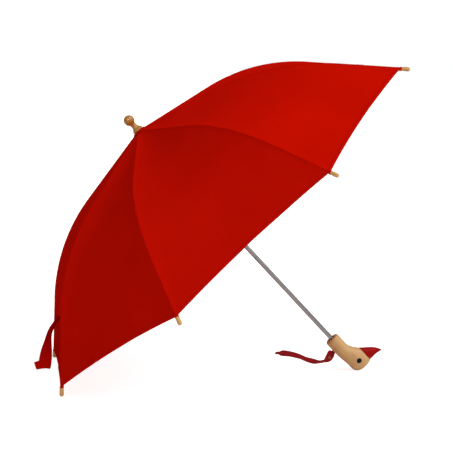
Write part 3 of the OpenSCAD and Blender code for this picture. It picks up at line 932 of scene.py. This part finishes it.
def make_rib_tip(k):
    """A turned barrel on the end of a rib, with a round nose and a groove near the cloth."""
    nose = TIP_NOSE_R
    outline = [(0.0022, 0.0003), (0.0034, 0.0003), (0.0037, 0.0007), (0.0037, 0.0022), (0.0034, 0.0026),
               (0.0034, 0.0030), (0.0037, 0.0034), (0.0040, 0.0070), (0.0042, 0.0105)]
    for i in range(9):
        b = math.pi / 2 * i / 9
        outline.append((nose * math.cos(b), TIP_L - nose + nose * math.sin(b)))
    outline.append((0.00005, TIP_L))
    obj = lathe(f"rib_tip_{k}_turned", outline, OWN @ tip_place(k), TIP_WOOD, f"outer_rib_{k}", 32)
    sharpen(obj, 40)
    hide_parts(f"rib_tip_{k}")


def make_corner_cuff(k):
    """The corner of the cloth, gathered and sewn round the inner end of a rib tip."""
    sides = 32
    place = OWN @ tip_place(k)
    outline = [(0.0022, -CUFF_L), (0.0028, -0.0060), (0.0036, -0.0028), (0.0041, 0.0002), (0.0043, 0.0010),
               (0.0038, 0.0013)]
    points = []
    for r, z in outline:
        rise = CUFF_RISE * smooth(-z / CUFF_L)
        for j in range(sides):
            b = math.tau * j / sides
            points.append(place @ Vector((rise + r * math.cos(b), r * math.sin(b), z)))
    obj = add_piece(f"corner_cuff_{k}", points, tube_faces(len(outline), sides), CLOTH, f"outer_rib_{k}")


make_finial()
for rib in RIBS:
    make_rib_tip(rib)
    make_corner_cuff(rib)

# ---- handle ----
NECK_R = 0.015
NECK_ROUND = 0.0035         # radius of the neck's upper edge
BACK_FROM = 0.028           # where the back starts to swell towards the head
FRONT_FROM = 0.022          # where the front does
FRONT_L = 0.044             # and the length over which it swells
SIDES_FROM = 0.030          # where the sides do
HEAD_START = 0.0725         # from here the head rounds off to the crown
HEAD_L = 0.0200
HEAD_MID = 0.0088           # offset of the head's middle towards the beak
HEAD_BACK = 0.0200          # depth of the head behind its middle
HEAD_FRONT = 0.0240         # and in front of it, before the flat is cut
HEAD_WIDE = 0.0176
FLAT_V = 0.0285             # the flat that carries the beak
BEAK_TIP = 0.0600
BEAK_UPPER = 0.0548         # upper line of the beak where it leaves the flat
BEAK_THROAT = 0.0893        # and its throat there
BEAK_WIDE = 0.0106          # and half its width
BEAK_BLUNT = 0.08           # share of its length over which it closes


def falling(x, power):
    """A quarter of a superellipse, from 1 down to 0 as x goes from 0 to 1."""
    return (1 - x ** power) ** (1 / power)


def handle_section(u):
    """Back, front and half width of the handle at u below the top of the neck."""
    if u < NECK_ROUND:
        r = NECK_R - NECK_ROUND + math.sqrt(max(NECK_ROUND ** 2 - (NECK_ROUND - u) ** 2, 0))
        return -r, r, r
    if u < HEAD_START:
        swell = smooth((u - BACK_FROM) / (HEAD_START - BACK_FROM))
        back = -NECK_R + (HEAD_MID - HEAD_BACK + NECK_R) * swell
        front = NECK_R + (HEAD_MID + HEAD_FRONT - NECK_R) * smooth((u - FRONT_FROM) / FRONT_L) ** 1.7
        wide = NECK_R + (HEAD_WIDE - NECK_R) * smooth((u - SIDES_FROM) / (HEAD_START - SIDES_FROM))
        return back, front, wide
    x = min((u - HEAD_START) / HEAD_L, 1.0)
    back = HEAD_MID - HEAD_BACK * falling(x, 2.2)
    front = HEAD_MID + HEAD_FRONT * falling(x, 4)
    return back, front, HEAD_WIDE * falling(x, 2.35)


def make_handle():
    """The neck and the head, carved from one piece, with the flat cut for the beak."""
    sides = 96
    places = [NECK_ROUND * (1 - math.cos(math.pi / 2 * i / 6)) for i in range(7)]
    places += [NECK_ROUND + (HEAD_START - NECK_ROUND) * i / 50 for i in range(1, 51)]
    places += [HEAD_START + HEAD_L * math.sin(math.pi / 2 * i / 26) for i in range(1, 26)]
    points = []
    for u in [*places, HEAD_START + HEAD_L * 0.9999]:
        back, front, wide = handle_section(u)
        middle, deep = (back + front) / 2, (front - back) / 2
        for j in range(sides):
            a = math.tau * j / sides
            v = middle + deep * math.cos(a)
            points.append(handle_at(u, min(v, FLAT_V), wide * math.sin(a)))
    obj = add_piece("handle_carved", points, tube_faces(len(places) + 1, sides), BEECH, "shaft")
    sharpen(obj, 32)
    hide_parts("handle")


def make_beak():
    """The bill: its upper line straight, its throat level, broad across and blunt at the end."""
    sides = 48
    points = []
    rings = 30
    length = BEAK_TIP - FLAT_V
    for i in range(rings):
        t = math.sin(math.pi / 2 * i / (rings - 1)) if i else 0.0
        low = BEAK_UPPER + 0.0275 * t + 0.0080 * t ** 7
        high = BEAK_THROAT + 0.0018 * t - 0.0060 * t * (1 - t)
        closing = math.sqrt(max(1 - (max(t - (1 - BEAK_BLUNT), 0) / BEAK_BLUNT) ** 2, 0.0004))
        middle, deep = (low + high) / 2, max((high - low) / 2, 0.0012) * closing
        wide = (BEAK_WIDE - 0.0030 * smooth(t * 1.1)) * closing
        for j in range(sides):
            a = math.tau * j / sides
            c, s = math.cos(a), math.sin(a)
            points.append(handle_at(middle + deep * math.copysign(abs(c) ** 0.85, c), FLAT_V + length * t,
                                    wide * math.copysign(abs(s) ** 0.85, s)))
    obj = add_piece("beak_carved", points, tube_faces(rings, sides), RED_PAINT, "shaft")
    sharpen(obj, 50)
    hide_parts("beak")


EYE_U, EYE_V, EYE_R = 0.0704, 0.0103, 0.0057
EYE_BASE = 0.0164           # distance of an eye's rim from the middle plane, just under the wood
EYE_RISE = 0.0024


def make_eyes():
    """Two glossy domes let into the sides of the head."""
    sides, steps = 32, 8
    points, faces = [], []
    for sign in (-1, 1):
        start = len(points)
        for i in range(steps + 1):
            a = math.pi / 2 * i / steps
            r = max(EYE_R * math.cos(a), 0.00005)
            for j in range(sides):
                b = math.tau * j / sides
                points.append(handle_at(EYE_U + r * math.cos(b), EYE_V + r * math.sin(b),
                                        sign * (EYE_BASE + EYE_RISE * math.sin(a))))
        ring = tube_faces(steps + 1, sides)
        faces += [tuple(start + x for x in (f if sign < 0 else f[::-1])) for f in ring]
    obj = add_piece("eye_domes", points, faces, BLACK_EYE, "shaft")
    sharpen(obj, 50)
    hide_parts("eyes")


make_handle()
make_beak()
make_eyes()

# ---- CAD nodes that show as they are ----
NODE_FINISH = {
    STEEL: ["notch_wire", "runner_wire", "runner_stop", "handle_pin"],
    DARK_STEEL: ["finial_stud", "top_catch", "low_catch"],
    BLACK_PLASTIC: ["top_notch", "runner", "neck_collar"],
}
for rib in RIBS:
    NODE_FINISH[STEEL] += [f"inner_rib_{rib}", f"outer_rib_{rib}", f"stretcher_{rib}"]
for finish, names in NODE_FINISH.items():
    for name in names:
        for holder in frame["nodes"][name].material_slots:
            holder.material = finish


# ---- floor and light ----
ROOM_FRONT = 0.42           # the room's light from in front
ROOM_BACK = 0.10            # and from behind
ROOM_FADE = (-0.6, 0.9)     # the y of the headings where that change starts and ends
KEY_STRENGTH = 1.85
KEY_FROM = (0.50, -0.35, 0.79)
KEY_ANGLE = math.radians(50)
LAMP_AT = (-1.3, -2.2, 1.9)
LAMP_POWER = 50.0
LAMP_SIZE = 0.8
FLOOR_HALF = 40.0
FLOOR_GLOW = 0.78           # keeps the shadow on the floor pale


def make_floor():
    """A white floor that glows for the camera alone."""
    mesh = bpy.data.meshes.new("floor")
    half = FLOOR_HALF
    corners = [(-half, -half, 0), (half, -half, 0), (half, half, 0), (-half, half, 0)]
    mesh.from_pydata(corners, [], [(0, 1, 2, 3)])
    obj = new_object("floor", mesh)
    white = new_material("floor_white", (0.90, 0.90, 0.90), 0.9, Specular_IOR_Level=0.1)
    nodes, links = white.node_tree.nodes, white.node_tree.links
    shader = nodes["Principled BSDF"]
    shader.inputs["Emission Color"].default_value = (1, 1, 1, 1)
    path = nodes.new("ShaderNodeLightPath")
    glow = nodes.new("ShaderNodeMath")
    glow.operation = "MULTIPLY"
    glow.inputs[1].default_value = FLOOR_GLOW
    links.new(path.outputs["Is Camera Ray"], glow.inputs[0])
    links.new(glow.outputs["Value"], shader.inputs["Emission Strength"])
    mesh.materials.append(white)


def add_light(name, kind, energy, towards):
    """A light that shines from the direction it is turned towards."""
    data = bpy.data.lights.new(name, kind)
    data.energy = energy
    obj = new_object(name, data)
    obj.rotation_euler = towards.to_track_quat("Z", "Y").to_euler()
    return obj


def add_key_light():
    """A wide, soft light from the upper right, in front."""
    key = add_light("key", "SUN", KEY_STRENGTH, Vector(KEY_FROM))
    key.data.angle = KEY_ANGLE


def add_lamp():
    """A soft box in front, on the left, that puts highlights on gloss and lights no dull surface."""
    lamp = add_light("lamp", "AREA", LAMP_POWER, Vector(LAMP_AT) - CAMERA_AIM)
    lamp.data.size = LAMP_SIZE
    lamp.visible_diffuse = False
    lamp.location = LAMP_AT


def make_world():
    """A white room, plain to the camera; as a light it is brighter in front than behind."""
    world = bpy.data.worlds.new("studio")
    bpy.context.scene.world = world
    world.use_nodes = True
    nodes, links = world.node_tree.nodes, world.node_tree.links
    room = nodes["Background"]
    room.inputs["Color"].default_value = (1, 1, 1, 1)
    seen = nodes.new("ShaderNodeBackground")
    seen.inputs["Color"].default_value = (1, 1, 1, 1)
    path = nodes.new("ShaderNodeLightPath")
    either = nodes.new("ShaderNodeMixShader")
    links.new(path.outputs["Is Camera Ray"], either.inputs["Fac"])
    links.new(room.outputs["Background"], either.inputs[1])
    links.new(seen.outputs["Background"], either.inputs[2])
    links.new(either.outputs["Shader"], nodes["World Output"].inputs["Surface"])
    place = nodes.new("ShaderNodeTexCoord")
    split = nodes.new("ShaderNodeSeparateXYZ")
    links.new(place.outputs["Generated"], split.inputs["Vector"])
    shade = nodes.new("ShaderNodeMapRange")
    shade.inputs["From Min"].default_value = ROOM_FADE[0]
    shade.inputs["From Max"].default_value = ROOM_FADE[1]
    shade.inputs["To Min"].default_value = ROOM_FRONT
    shade.inputs["To Max"].default_value = ROOM_BACK
    links.new(split.outputs["Y"], shade.inputs["Value"])
    links.new(shade.outputs["Result"], room.inputs["Strength"])


make_floor()
make_world()
add_key_light()
add_lamp()
